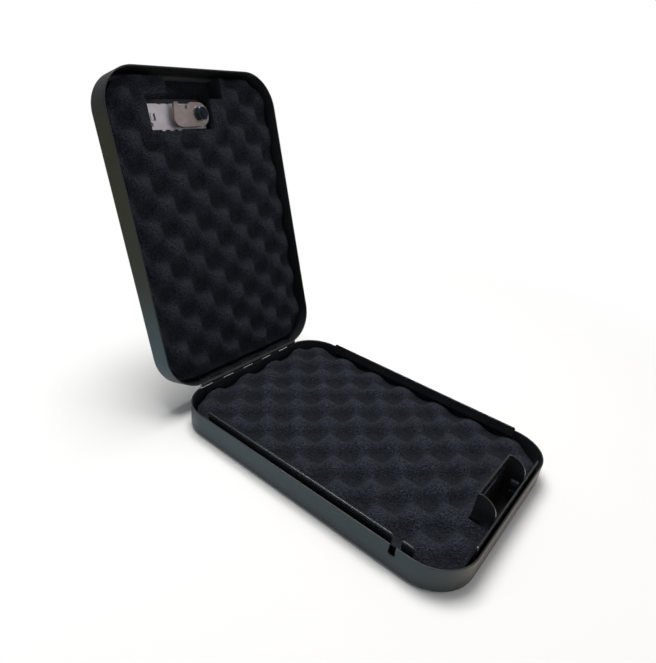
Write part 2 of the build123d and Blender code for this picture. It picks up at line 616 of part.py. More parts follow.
def cam_washer():
    """Flat washer under the nut."""
    ring = rod(PIVOT_X, LOCK_Y, CAM_UNDER - WASHER, CAM_UNDER, WASHER_RADIUS)
    return ring - rod(PIVOT_X, LOCK_Y, CAM_UNDER - WASHER, CAM_UNDER, STUD_RADIUS + ROUND_FIT)


def cam_nut():
    """Hexagon nut that holds the cam, with its outer corners eased."""
    top = CAM_UNDER - WASHER
    face = RegularPolygon(NUT_FLATS / 2, 6, major_radius=False)
    nut = extrude(Pos(PIVOT_X, LOCK_Y, top - NUT_HEIGHT) * face, NUT_HEIGHT)
    cone = Pos(PIVOT_X, LOCK_Y, top - NUT_HEIGHT / 2) * Cone(NUT_FLATS / 2, NUT_FLATS / 2 + NUT_HEIGHT, NUT_HEIGHT)
    return (nut & cone) - rod(PIVOT_X, LOCK_Y, top - NUT_HEIGHT, top, STUD_RADIUS + ROUND_FIT)


def lock_knob():
    """Turn knob: a round flange with a bar grip across it."""
    low = BEZEL_FACE + KNOB_LIFT
    flange = rod(PIVOT_X, LOCK_Y, low, low + KNOB_FLANGE, KNOB_RADIUS)
    flange = fillet(flange.edges().group_by(Axis.Z)[-1], KNOB_FLANGE / 4)
    grip = Pos(PIVOT_X, LOCK_Y, low) * RectangleRounded(2 * KNOB_RADIUS - 1, KNOB_GRIP, KNOB_GRIP / 2 - 0.1)
    grip = extrude(grip, KNOB_HEIGHT)
    grip = fillet(grip.edges().group_by(Axis.Z)[-1], KNOB_GRIP / 5)
    bore = rod(PIVOT_X, LOCK_Y, low, BEZEL_FACE + KNOB_HEIGHT - KNOB_FLANGE + KNOB_LIFT, KNOB_BORE + ROUND_FIT)
    return flange + grip - bore


def chassis_screws():
    """Two pan head screws through the back plate into the bezel's body."""
    screws = []
    for x, y in screw_places():
        head = rod(x, y, CHASSIS_UNDER - SCREW_HEAD_HEIGHT, CHASSIS_UNDER, SCREW_HEAD)
        head = fillet(head.edges().group_by(Axis.Z)[0], SCREW_HEAD_HEIGHT / 2)
        shank = rod(x, y, CHASSIS_UNDER, CHASSIS_TOP + SCREW_LENGTH - 1, SCREW_RADIUS)
        cross = block(x - SCREW_HEAD / 2, x + SCREW_HEAD / 2, y - 0.25, y + 0.25,
                      CHASSIS_UNDER - SCREW_HEAD_HEIGHT, CHASSIS_UNDER - SCREW_HEAD_HEIGHT / 2)
        turned = cross.rotate(Axis((x, y, 0), (0, 0, 1)), 90)
        screws.append((head + shank - cross - turned).solids()[0])
    return Compound(screws)


def save(name, shape):
    """Writes one node, as a single solid where it is one."""
    solids = shape.solids()
    export_step(solids[0] if len(solids) == 1 else Compound(solids), os.path.join("parts", name + ".step"))


def fixed_pieces():
    """Everything that stays with the base."""
    gap = NOTCH_HOLE_RADIUS + NOTCH_STRIP_GAP
    rear, front = REAR_Y - SIDE_STRIP_REAR, FRONT_Y + SIDE_STRIP_FRONT
    return {
        "base_shell": base_shell(),
        "side_strip_left_rear": side_strip(-1, NOTCH_Y + gap, rear),
        "side_strip_left_front": side_strip(-1, front, NOTCH_Y - gap),
        "side_strip_right": side_strip(1, front, rear),
        "front_strip": front_strip(),
        "catch_bracket": catch_bracket(),
        "base_foam": base_foam(),
        "hinge_base_leaf": leaf(-1),
        "hinge_pin": hinge_pin(),
    }


def lid_pieces():
    """Everything that swings with the lid, modelled closed."""
    pieces = {
        "lid_shell": lid_shell(),
        "lid_foam": lid_foam(),
        "hinge_lid_leaf": leaf(1),
        "lock_bezel": lock_bezel(),
        "lock_chassis": lock_chassis(),
        "chassis_screws": chassis_screws(),
        "dial_axle": dial_axle(),
        "detent_spring": detent_spring(),
        "lock_fence": lock_fence(),
        "fence_spring": fence_spring(),
        "reset_tab": reset_tab(),
        "lock_knob": lock_knob(),
        "lock_spindle": lock_spindle(),
        "lock_cam": lock_cam(),
        "cam_washer": cam_washer(),
        "cam_nut": cam_nut(),
    }
    for number, x in enumerate(DIAL_X, 1):
        pieces[f"dial_{number}"] = dial(x)
        pieces[f"dial_hub_{number}"] = dial_hub(x)
    return pieces


for node, piece in fixed_pieces().items():
    save(node, piece)
for node, piece in lid_pieces().items():
    save(node, opened(piece))
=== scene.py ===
import json
import math

import bmesh
import bpy
import numpy as np
from bpy.props import FloatProperty, FloatVectorProperty, PointerProperty
from bpy.types import Operator, Panel, PropertyGroup
from mathutils import Matrix, Vector
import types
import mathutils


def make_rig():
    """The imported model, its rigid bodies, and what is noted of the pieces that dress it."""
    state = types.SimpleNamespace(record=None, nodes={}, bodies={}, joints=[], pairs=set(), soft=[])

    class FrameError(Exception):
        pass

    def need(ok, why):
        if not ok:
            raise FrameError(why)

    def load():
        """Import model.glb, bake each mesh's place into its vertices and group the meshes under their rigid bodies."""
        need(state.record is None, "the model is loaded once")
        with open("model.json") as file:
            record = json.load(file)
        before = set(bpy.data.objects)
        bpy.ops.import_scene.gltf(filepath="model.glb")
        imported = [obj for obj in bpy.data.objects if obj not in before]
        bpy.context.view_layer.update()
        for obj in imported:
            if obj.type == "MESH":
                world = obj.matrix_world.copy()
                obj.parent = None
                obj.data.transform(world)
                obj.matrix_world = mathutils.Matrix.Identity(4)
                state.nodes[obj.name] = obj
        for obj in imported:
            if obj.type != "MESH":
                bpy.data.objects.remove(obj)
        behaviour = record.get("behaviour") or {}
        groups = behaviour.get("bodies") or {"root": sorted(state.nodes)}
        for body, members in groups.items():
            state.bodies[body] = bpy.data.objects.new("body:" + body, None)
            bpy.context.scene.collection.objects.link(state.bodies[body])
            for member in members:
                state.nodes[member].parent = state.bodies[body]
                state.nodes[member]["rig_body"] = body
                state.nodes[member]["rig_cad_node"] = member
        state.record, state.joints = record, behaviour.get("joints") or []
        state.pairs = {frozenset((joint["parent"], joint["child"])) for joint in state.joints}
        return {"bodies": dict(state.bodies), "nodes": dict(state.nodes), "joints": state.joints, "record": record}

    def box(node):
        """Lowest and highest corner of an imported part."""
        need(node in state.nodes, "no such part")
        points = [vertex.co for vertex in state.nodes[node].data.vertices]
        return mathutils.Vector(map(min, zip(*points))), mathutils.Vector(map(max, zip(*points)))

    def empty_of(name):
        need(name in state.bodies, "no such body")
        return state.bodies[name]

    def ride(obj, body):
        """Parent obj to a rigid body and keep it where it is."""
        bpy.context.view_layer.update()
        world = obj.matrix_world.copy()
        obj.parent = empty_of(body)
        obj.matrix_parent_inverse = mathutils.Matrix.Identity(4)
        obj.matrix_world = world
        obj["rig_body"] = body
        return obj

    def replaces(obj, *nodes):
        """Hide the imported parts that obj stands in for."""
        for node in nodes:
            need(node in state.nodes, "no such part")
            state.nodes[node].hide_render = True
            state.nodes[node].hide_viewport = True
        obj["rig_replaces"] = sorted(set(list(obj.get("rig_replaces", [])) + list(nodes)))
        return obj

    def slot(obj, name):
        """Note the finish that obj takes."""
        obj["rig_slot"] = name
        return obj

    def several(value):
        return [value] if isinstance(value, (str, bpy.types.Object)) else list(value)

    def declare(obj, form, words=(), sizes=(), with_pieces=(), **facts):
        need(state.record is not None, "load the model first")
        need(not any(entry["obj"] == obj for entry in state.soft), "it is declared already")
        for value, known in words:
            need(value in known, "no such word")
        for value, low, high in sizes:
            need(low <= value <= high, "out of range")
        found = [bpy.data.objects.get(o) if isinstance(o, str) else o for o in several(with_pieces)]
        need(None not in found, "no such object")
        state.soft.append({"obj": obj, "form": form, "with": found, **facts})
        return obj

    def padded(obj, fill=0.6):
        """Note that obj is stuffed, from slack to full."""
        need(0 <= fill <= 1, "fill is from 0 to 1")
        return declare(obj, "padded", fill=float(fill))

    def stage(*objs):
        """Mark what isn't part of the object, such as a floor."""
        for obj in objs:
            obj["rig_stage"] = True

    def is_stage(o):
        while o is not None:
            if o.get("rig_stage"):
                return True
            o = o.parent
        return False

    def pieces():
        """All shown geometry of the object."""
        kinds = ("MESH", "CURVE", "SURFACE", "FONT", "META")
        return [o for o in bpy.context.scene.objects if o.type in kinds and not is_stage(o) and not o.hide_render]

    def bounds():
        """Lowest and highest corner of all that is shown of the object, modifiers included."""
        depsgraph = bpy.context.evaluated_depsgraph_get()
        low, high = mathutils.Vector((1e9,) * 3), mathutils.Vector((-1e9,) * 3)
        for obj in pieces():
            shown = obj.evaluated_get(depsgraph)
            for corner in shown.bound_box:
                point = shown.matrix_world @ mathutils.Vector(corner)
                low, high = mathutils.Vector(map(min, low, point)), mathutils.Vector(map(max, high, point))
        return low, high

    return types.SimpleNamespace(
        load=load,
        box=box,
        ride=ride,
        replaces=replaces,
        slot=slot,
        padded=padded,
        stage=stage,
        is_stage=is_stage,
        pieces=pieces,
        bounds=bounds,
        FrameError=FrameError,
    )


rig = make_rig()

bl_info = {
    "name": "Small Steel Safe",
    "version": (1, 0, 0),
    "blender": (4, 5, 0),
    "location": "View3D > Sidebar > Safe",
    "description": "Coated steel, egg-crate foam and lock details for a small safe with its lid open",
    "category": "Object",
}

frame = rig.load()
CAD_LOW, CAD_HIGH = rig.bounds()
RECORD = frame["record"]
BODY_OF = {node: body for body, nodes in RECORD["behaviour"]["bodies"].items() for node in nodes}
SLOT_OF = {part["node"]: part["material_slot"] for part in RECORD["subparts"]}
JOINTS = {joint["name"]: joint for joint in frame["joints"]}

# The lid is worked out closed, then opened about the hinge, as far as the hinge's range goes.
HINGE = np.array(JOINTS["lid_hinge"]["pos_m"])
OPEN_ANGLE = math.radians(JOINTS["lid_hinge"]["range_deg"][1])

# The photograph's frame, and where the line of sight meets it, in its own pixels.
IMAGE_WIDTH = 656
IMAGE_HEIGHT = 663
SIGHT_PIXEL_X = 305.73
SIGHT_PIXEL_Y = 335.29
FOCAL_PIXELS = 523.17

# The camera looks at a point above the hinge side of the base, in metres and degrees.
SIGHT_TARGET = Vector((0.0, 0.06739, 0.07606))
SIGHT_DISTANCE = 0.44192
SIGHT_AZIMUTH = -52.558
SIGHT_ELEVATION = 27.687
SIGHT_ROLL = 5.848
SENSOR = 36.0

# The lock with the lid closed, in metres: its line along the safe and its spindle across it.
LOCK_Y = -0.0945
PIVOT_X = 0.003

# Openings in the foam, in metres: the lock's window to each side of the spindle and behind the lock's line,
# and the clearances round the bracket and the lock's back plate. The bracket's recess leaves a thin skin.
WINDOW_LEFT = 0.053
WINDOW_RIGHT = 0.011
WINDOW_REAR = 0.013
BRACKET_CLEAR = 0.001
RECESS_REAR = 0.003
RECESS_FLOOR = 0.001
POCKET_CLEAR = 0.001
CUT_BEYOND = 0.01

# Painted light and shade on the foam, from 0 to 1: how light its lowest valley and its highest crest are painted.
# The lid's range is narrower and lower: painted shade that darkens the lid's foam as a whole and flattens its relief.
BASE_PAINTED_RELIEF_LIGHT = (0.0, 1.0)
LID_PAINTED_RELIEF_LIGHT = (0.22, 0.47)

# Waves that make the crests uneven, in radians to the metre, and their shifts in radians.
UNEVEN_X, UNEVEN_Y = 61, 47
UNEVEN_SHIFT_X, UNEVEN_SHIFT_Y = 1.3, 0.4
SLANT_X, SLANT_Y = 113, 89

# Radius of the case's corners, seen from above, and rows of a pad's grid in a corner to each cell of its
# radius.
CASE_CORNER = 0.031
CORNER_ROWS = 1.2

# Angle from which an edge is sharp, angle up to which faces are merged as flat, decimals to which the solids'
# loose corners are merged, and faces across the rounding of an edge.
SMOOTH_ANGLE = math.radians(32)
FLAT_ANGLE = math.radians(0.5)
MERGE_DECIMALS = 7
EDGE_SEGMENTS = 2

# Numbers on a wheel, and the height of a number as a share of its font's size.
DIGITS = 10
NUMBER_SHARE = 0.7

# Grains, cells or lines to the metre in each finish.
COAT_GRAIN, COAT_LUMPS, COAT_CLOUD, COAT_DUST = 1900, 420, 14, 260
FOAM_STRANDS, FOAM_THREADS, FOAM_MOTTLE, FOAM_PATCHES = 430, 640, 150, 28
FOAM_LINT, FOAM_LINT_AREAS = 210, 34
ZINC_FLOW, ZINC_PITS, ZINC_SKIN = 90, 900, 1300
METAL_LINES, METAL_MARKS = 2600, 260
PLASTIC_GRAIN, PLASTIC_CLOUD = 1600, 150
PAINT_WEAR = 900

# Depth of the bumps in each finish, in metres.
FOAM_PORE_DEPTH, FOAM_MOTTLE_DEPTH = 0.0012, 0.0009
ZINC_SKIN_DEPTH, ZINC_PIT_DEPTH = 0.00004, 0.00005
METAL_LINE_DEPTH = 0.00003
PLASTIC_GRAIN_DEPTH = 0.00002
PAINT_WEAR_DEPTH = 0.00001

# Colours that aren't settings.
DUST = (0.25, 0.25, 0.26)
FOAM_PATCH = (0.020, 0.018, 0.018)
FOAM_SHEEN = (0.55, 0.6, 0.7, 1.0)
BRASS = (0.62, 0.46, 0.22)
WHEEL_BLACK = (0.022, 0.022, 0.024)
WORN_PAINT = (0.60, 0.60, 0.57)
FRESH_PAINT = (0.80, 0.80, 0.77)
WHITE = (1.0, 1.0, 1.0, 1.0)

# Lamps: name, place and size in metres, colour, and the setting that holds the power.
LAMPS = (
    ("key lamp", (0.14, 0.40, 1.45), 0.8, (1.0, 0.99, 0.97), "key_power"),
    ("left lamp", (-0.50, 0.20, 0.10), 0.25, (0.62, 0.80, 1.0), "left_power"),
    ("front lamp", (0.12, -1.30, 0.75), 0.8, (1.0, 0.98, 0.99), "front_power"),
)

# The floor: where its two fades start, as shares of where they end, and from which X to which X it goes from
# the cool to the warm colour.
CLEAR_FROM = 0.35
DIM_FROM = 0.4
COOL_X, WARM_X = -0.13, -0.05


def colour_setting(name, description, default):
    """A colour in the panel."""
    return FloatVectorProperty(name=name, description=description, default=default, size=3, subtype="COLOR",
                               min=0.0, max=1.0)


def share_setting(name, description, default):
    """A share from 0 to 1 in the panel."""
    return FloatProperty(name=name, description=description, default=default, min=0.0, max=1.0)


def length_setting(name, description, default, **limits):
    """A length in metres in the panel."""
    return FloatProperty(name=name, description=description, default=default, unit="LENGTH", **limits)


def power_setting(name, description, default):
    """A lamp's power in watts in the panel."""
    return FloatProperty(name=name, description=description, default=default, min=0.0, unit="POWER")


class FoamSettings(PropertyGroup):
    """Sizes and colours of the two foam pads."""

    pitch_across: length_setting("Pitch across", "From crest to crest across the safe", 0.037, min=0.01)
    pitch_along: length_setting("Pitch along", "From crest to crest along the safe", 0.0344, min=0.01)
    phase_across: length_setting("Shift across", "Where a crest stands, from the middle, across", 0.0036)
    phase_along: length_setting("Shift along", "Where a crest stands, from the middle, along", 0.0053)
    crest: length_setting("Crest height", "From the lowest valley to the highest crest", 0.0085, min=0.0)
    steep: share_setting("Steepness", "From plain waves to steep flanks between crest and valley", 0.85)
    hem: share_setting("Hem", "Share of a crest's height that is lost at the pad's edge", 0.4)
    uneven: length_setting("Unevenness", "How far crests differ in height", 0.0006, min=0.0)
    ease: length_setting("Ease", "How far from an edge the crests start to change", 0.014, min=0.001)
    level: share_setting("Level", "Height of the foam at an opening's edge, as a share of a crest", 0.8)
    cell: length_setting("Cell", "Width of one face of the foam's surface", 0.0013, min=0.0005)
    fill: share_setting("Fill", "How tight the foam is, from slack to firm", 0.95)
    colour: colour_setting("Foam colour", "Colour of the cut foam", (0.0156, 0.0190, 0.0278))
    speck_colour: colour_setting("Lint colour", "Colour of the lint caught in the pores", (0.16, 0.17, 0.20))


class CaseSettings(PropertyGroup):
    """Finish of the coated steel."""

    coat: colour_setting("Coat colour", "Colour of the powder coat", (0.016, 0.017, 0.019))
    roughness: share_setting("Coat roughness", "How matt the coat is on the shells", 0.38)
    small_roughness: share_setting("Small parts' roughness", "How matt the coat is on small parts", 0.17)
    grain: length_setting("Grain depth", "Depth of the powder coat's grain", 0.00006, min=0.0)
    edge: length_setting("Edge rounding", "Width of the rounding on cut sheet edges", 0.00025, min=0.0)


class LockSettings(PropertyGroup):
    """Finish of the lock's metal and size of its numbers."""

    zinc: colour_setting("Zinc colour", "Colour of the die-cast back plate", (0.95, 0.90, 0.96))
    cam: colour_setting("Cam colour", "Colour of the cam, a duller casting", (0.40, 0.33, 0.32))
    steel: colour_setting("Steel colour", "Colour of the pin, washer and screws", (0.56, 0.56, 0.57))
    black: colour_setting("Black plating", "Colour of the nut's black plating", (0.045, 0.055, 0.078))
    nickel: colour_setting("Nickel colour", "Colour of the knob", (0.50, 0.49, 0.46))
    edge: length_setting("Casting edge", "Width of the rounding on cast edges", 0.0002, min=0.0)
    number_height: length_setting("Number height", "Height of a number on a wheel", 0.0036, min=0.001)
    number_raise: length_setting("Number relief", "How far a number stands off its wheel", 0.00006, min=0.0)


class StageSettings(PropertyGroup):
    """Floor, light and background."""

    floor: colour_setting("Floor colour", "Colour of the floor under the safe", (0.90, 0.90, 0.90))
    cool: colour_setting("Cool side", "Floor colour that reflections see on the left", (0.56, 0.84, 1.0))
    warm: colour_setting("Warm side", "Floor colour that reflections see on the right", (0.90, 0.84, 0.74))
    far: colour_setting("Far side", "Floor colour that reflections see far away", (0.82, 0.86, 0.46))
    floor_size: length_setting("Floor size", "Side of the floor", 8.0, min=1.0)
    clear_radius: length_setting("White from", "Where the floor has faded into the background", 0.6, min=0.1)
    dim_radius: length_setting("Dim from", "Where the floor has gone dim as reflections see it", 0.5, min=0.1)
    dim_level: FloatProperty(name="Dim level", description="How bright reflections see the far floor",
                             default=0.35, min=0.0)
    key_power: power_setting("Key power", "Power of the large lamp overhead", 22.5)
    left_power: power_setting("Left power", "Power of the cool lamp low on the left", 0.2)
    front_power: power_setting("Front power", "Power of the lamp in front, which lights the lock", 3.5)
    sky_level: FloatProperty(name="Sky level", description="Strength of the even light all round",
                             default=0.22, min=0.0)


class Shade:
    """A shader socket in a sum: each operator adds one Math node and gives its result."""

    def __init__(self, finish, socket):
        self.finish = finish
        self.socket = socket

    def _math(self, operation, *values):
        return self.finish.node("ShaderNodeMath", {"operation": operation}, dict(enumerate(values)))

    def __add__(self, other):
        return self._math("ADD", self, other)

    def __sub__(self, other):
        return self._math("SUBTRACT", self, other)

    def __rsub__(self, other):
        return self._math("SUBTRACT", other, self)

    def __mul__(self, other):
        return self._math("MULTIPLY", self, other)

    __radd__ = __add__

    def ramp(self, low, high):
        """0 below low and 1 above high, with a soft step between."""
        settings = {"interpolation_type": "SMOOTHSTEP"}
        values = {"Value": self, "From Min": low, "From Max": high}
        return self.finish.node("ShaderNodeMapRange", settings, values)


class Finish:
    """A material and its node tree, with one method that adds any node."""

    def __init__(self, name):
        self.material = bpy.data.materials.new(name)
        self.material.use_nodes = True
        self.tree = self.material.node_tree
        self.tree.nodes.clear()
        self.place = None

    def node(self, kind, settings=None, values=None, output=0):
        """Adds a node, makes its settings, fills or links its sockets and gives one of its outputs."""
        added = self.tree.nodes.new(kind)
        for key, value in (settings or {}).items():
            setattr(added, key, value)
        for key, value in (values or {}).items():
            socket = added.inputs[key]
            if isinstance(value, Shade):
                self.tree.links.new(value.socket, socket)
            elif value is not None:
                socket.default_value = value
        return Shade(self, added.outputs[output]) if added.outputs else None

    def where(self):
        """The point on the piece, in metres from the object's origin."""
        if self.place is None:
            self.place = self.node("ShaderNodeTexCoord", output="Object")
        return self.place

    def noise(self, scale, detail=2.0, roughness=0.5, place=None):
        """Soft noise from 0 to 1, with scale lumps to the metre."""
        return self.node("ShaderNodeTexNoise", values={"Vector": place or self.where(), "Scale": scale,
                                                       "Detail": detail, "Roughness": roughness})

    def cells(self, scale, feature="F1"):
        """Distance to the nearest of scattered points, in cells."""
        values = {"Vector": self.where(), "Scale": scale}
        return self.node("ShaderNodeTexVoronoi", {"feature": feature}, values)

    def mix(self, factor, low, high):
        """One colour below and another above, by factor."""
        values = {0: factor, 6: colour_of(low), 7: colour_of(high)}
        return self.node("ShaderNodeMix", {"data_type": "RGBA"}, values, output=2)

    def bump(self, height, distance, strength=1.0, under=None):
        """A normal bent by height, whose full range is distance deep."""
        return self.node("ShaderNodeBump", values={"Strength": strength, "Distance": distance,
                                                   "Height": height, "Normal": under})

    def surface(self, **values):
        """The shader itself, from its sockets' names with spaces written as underscores."""
        sockets = {key.replace("_", " "): value for key, value in values.items()}
        shader = self.node("ShaderNodeBsdfPrincipled", values=sockets)
        return self.end(shader)

    def end(self, shader):
        """Joins the shader to the material's output and gives the material."""
        self.node("ShaderNodeOutputMaterial", values={"Surface": shader})
        return self.material


def colour_of(value):
    """A colour with its alpha, or a socket as it is."""
    return value if isinstance(value, Shade) else (*value[:3], 1.0)


def scaled(colour, factor):
    """A colour made lighter or darker."""
    return tuple(min(1.0, part * factor) for part in colour)


def powder_coat(name, settings, roughness, specular=0.5, relief=1.0):
    """Satin black powder coat: a fine grain, softer lumps under it and a slightly uneven gloss."""
    finish = Finish(name)
    grain = finish.noise(COAT_GRAIN, detail=3.0, roughness=0.6)
    lumps = finish.noise(COAT_LUMPS, detail=1.0)
    cloud = finish.noise(COAT_CLOUD, detail=2.0)
    fine = finish.bump(grain, settings.grain * relief, strength=0.55)
    bent = finish.bump(lumps, settings.grain * relief * 1.6, strength=0.5, under=fine)
    dust = finish.cells(COAT_DUST).ramp(0.035, 0.02)
    colour = finish.mix(cloud.ramp(0.3, 0.7), scaled(settings.coat, 0.85), scaled(settings.coat, 1.2))
    colour = finish.mix(dust * 0.25, colour, DUST)
    gloss = roughness + (cloud - 0.5) * 0.08 + (grain - 0.5) * 0.12
    return finish.surface(Base_Color=colour, Roughness=gloss, Normal=bent, IOR=1.5,
                          Specular_IOR_Level=specular)


def open_cell_foam(settings):
    """Charcoal foam: pale strands round dark pores at two sizes, painted shade in the valleys, mottling and pale lint.
    """
    finish = Finish("charcoal foam")
    strands = finish.cells(FOAM_STRANDS, "DISTANCE_TO_EDGE").ramp(0.16, 0.03)
    threads = finish.noise(FOAM_THREADS, detail=2.0, roughness=0.7).ramp(0.40, 0.62)
    mottle = finish.noise(FOAM_MOTTLE, detail=4.0, roughness=0.65)
    patches = finish.noise(FOAM_PATCHES, detail=2.0)
    web = strands * 0.4 + threads * 0.6
    base = settings.colour
    colour = finish.mix(web, scaled(base, 0.34), scaled(base, 2.5))
    colour = finish.mix(mottle.ramp(0.38, 0.68) * 0.3, colour, scaled(base, 1.9))
    colour = finish.mix(patches.ramp(0.4, 0.75) * 0.2, colour, FOAM_PATCH)
    # Painted shade: the foam is darkened in its valleys and kept light on its crests, by a height stored on the pad.
    lightness = finish.node("ShaderNodeAttribute", {"attribute_name": "lightness"}, output="Fac")
    colour = finish.mix((1 - lightness.ramp(0.05, 0.8)) * 0.65, colour, scaled(base, 0.3))
    lint = finish.cells(FOAM_LINT).ramp(0.055, 0.03) * finish.noise(FOAM_LINT_AREAS).ramp(0.5, 0.62)
    colour = finish.mix(lint * 0.8, colour, settings.speck_colour)
    pores = finish.bump(web, FOAM_PORE_DEPTH, strength=1.0)
    bent = finish.bump(mottle, FOAM_MOTTLE_DEPTH, strength=0.7, under=pores)
    return finish.surface(Base_Color=colour, Roughness=0.97, Normal=bent, Sheen_Weight=0.06,
                          Sheen_Roughness=0.5, Sheen_Tint=FOAM_SHEEN, Specular_IOR_Level=0.15)


def cast_zinc(name, colour, metallic=1.0, roughness=0.36, marks=1.0):
    """Satin die-cast zinc: faint flow marks, tiny pits and a cloudy gloss; less metallic where it is dull."""
    finish = Finish(name)
    flow = finish.noise(ZINC_FLOW, detail=4.0, roughness=0.6)
    pits = finish.cells(ZINC_PITS).ramp(0.05, 0.16)
    skin = finish.noise(ZINC_SKIN, detail=2.0)
    dark, light = scaled(colour, 1 - 0.18 * marks), scaled(colour, 1 + 0.12 * marks)
    tone = finish.mix(flow.ramp(0.3, 0.7), dark, light)
    tone = finish.mix(pits, scaled(colour, 1 - 0.55 * marks), tone)
    pitted = finish.bump(pits, ZINC_PIT_DEPTH, strength=0.6)
    bent = finish.bump(skin, ZINC_SKIN_DEPTH, strength=0.5, under=pitted)
    gloss = roughness + (flow - 0.5) * 0.18
    return finish.surface(Base_Color=tone, Metallic=metallic, Roughness=gloss, Normal=bent)


def turned_metal(name, colour, roughness=0.25):
    """Turned or drawn metal: fine lines along X and light handling marks."""
    finish = Finish(name)
    stretch = finish.node("ShaderNodeMapping", values={"Vector": finish.where(), "Scale": (0.06, 1.0, 1.0)})
    lines = finish.noise(METAL_LINES, detail=2.0, place=stretch)
    marks = finish.noise(METAL_MARKS, detail=3.0)
    tone = finish.mix(marks.ramp(0.35, 0.7), scaled(colour, 0.85), scaled(colour, 1.08))
    gloss = roughness + (lines - 0.5) * 0.12 + (marks - 0.5) * 0.08
    bent = finish.bump(lines, METAL_LINE_DEPTH, strength=0.5)
    return finish.surface(Base_Color=tone, Metallic=1.0, Roughness=gloss, Normal=bent)


def moulded_plastic(name, colour):
    """Moulded plastic with a fine even grain."""
    finish = Finish(name)
    grain = finish.noise(PLASTIC_GRAIN, detail=2.0)
    cloud = finish.noise(PLASTIC_CLOUD)
    tone = finish.mix(cloud.ramp(0.3, 0.7), scaled(colour, 0.9), scaled(colour, 1.1))
    bent = finish.bump(grain, PLASTIC_GRAIN_DEPTH, strength=0.5)
    return finish.surface(Base_Color=tone, Roughness=0.34 + (grain - 0.5) * 0.1, Normal=bent)


def number_paint():
    """Off-white paint of the numbers, a little worn."""
    finish = Finish("number paint")
    wear = finish.noise(PAINT_WEAR, detail=3.0)
    tone = finish.mix(wear.ramp(0.3, 0.6), WORN_PAINT, FRESH_PAINT)
    bent = finish.bump(wear, PAINT_WEAR_DEPTH)
    return finish.surface(Base_Color=tone, Roughness=0.5 + (wear - 0.5) * 0.2, Normal=bent)


def turned_about_hinge(points, angle):
    """Points turned about the hinge pin's line, by the right-hand rule about X."""
    moved = np.asarray(points, float) - HINGE
    y, z = moved[:, 1].copy(), moved[:, 2].copy()
    moved[:, 1] = y * math.cos(angle) - z * math.sin(angle)
    moved[:, 2] = y * math.sin(angle) + z * math.cos(angle)
    return moved + HINGE


def opened(points):
    """Points of the closed lid, where they are with the lid open."""
    return turned_about_hinge(points, -OPEN_ANGLE)


def node_points(node):
    """A CAD node's vertices as an array."""
    mesh = frame["nodes"][node].data
    points = np.empty(len(mesh.vertices) * 3)
    mesh.vertices.foreach_get("co", points)
    return points.reshape(-1, 3)


def closed_box(node):
    """Lowest and highest corner of a lid node, with the lid closed."""
    points = turned_about_hinge(node_points(node), OPEN_ANGLE)
    return points.min(axis=0), points.max(axis=0)


def mesh_object(name, vertices, faces):
    """A mesh object at the origin, with smooth faces between its sharp edges."""
    mesh = bpy.data.meshes.new(name)
    mesh.from_pydata(vertices, [], faces)
    mesh.validate()
    mesh.shade_smooth()
    mesh.set_sharp_from_angle(angle=SMOOTH_ANGLE)
    piece = bpy.data.objects.new(name, mesh)
    bpy.context.scene.collection.objects.link(piece)
    return piece


def join_safe(piece, finish, node, stands_for=()):
    """Gives a piece its finish and lets it ride with the body that holds the node."""
    piece.data.materials.append(finish)
    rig.ride(piece, BODY_OF[node])
    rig.slot(piece, SLOT_OF[node])
    if stands_for:
        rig.replaces(piece, *stands_for)
    return piece


def finish_node(node, finish):
    """Puts a finish on a CAD node that keeps its shape."""
    materials = frame["nodes"][node].data.materials
    materials.clear()
    materials.append(finish)


def softened(node, finish, width):
    """A CAD node's copy, with its loose triangles merged and its sharp edges rounded."""
    mesh = frame["nodes"][node].data
    corners = np.empty(len(mesh.loops), int)
    mesh.loops.foreach_get("vertex_index", corners)
    places, lookup = np.unique(np.round(node_points(node), MERGE_DECIMALS), axis=0, return_inverse=True)
    triangles = lookup.reshape(-1)[corners].reshape(-1, 3)
    whole = np.all(triangles != np.roll(triangles, 1, axis=1), axis=1)
    piece = mesh_object(node + "_finished", places, triangles[whole].tolist())
    flat = bmesh.new()
    flat.from_mesh(piece.data)
    bmesh.ops.dissolve_limit(flat, angle_limit=FLAT_ANGLE, verts=flat.verts, edges=flat.edges)
    flat.to_mesh(piece.data)
    flat.free()
    bevel = piece.modifiers.new("edges", "BEVEL")
    bevel.width = width
    bevel.segments = EDGE_SEGMENTS
    bevel.limit_method = "ANGLE"
    bevel.angle_limit = SMOOTH_ANGLE
    bevel.harden_normals = True
    return join_safe(piece, finish, node, stands_for=(node,))


def closeness(distance, reach):
    """1 at no distance and 0 from reach on, with a soft step between."""
    near = np.clip(1 - distance / reach, 0, 1)
    return near * near * (3 - 2 * near)


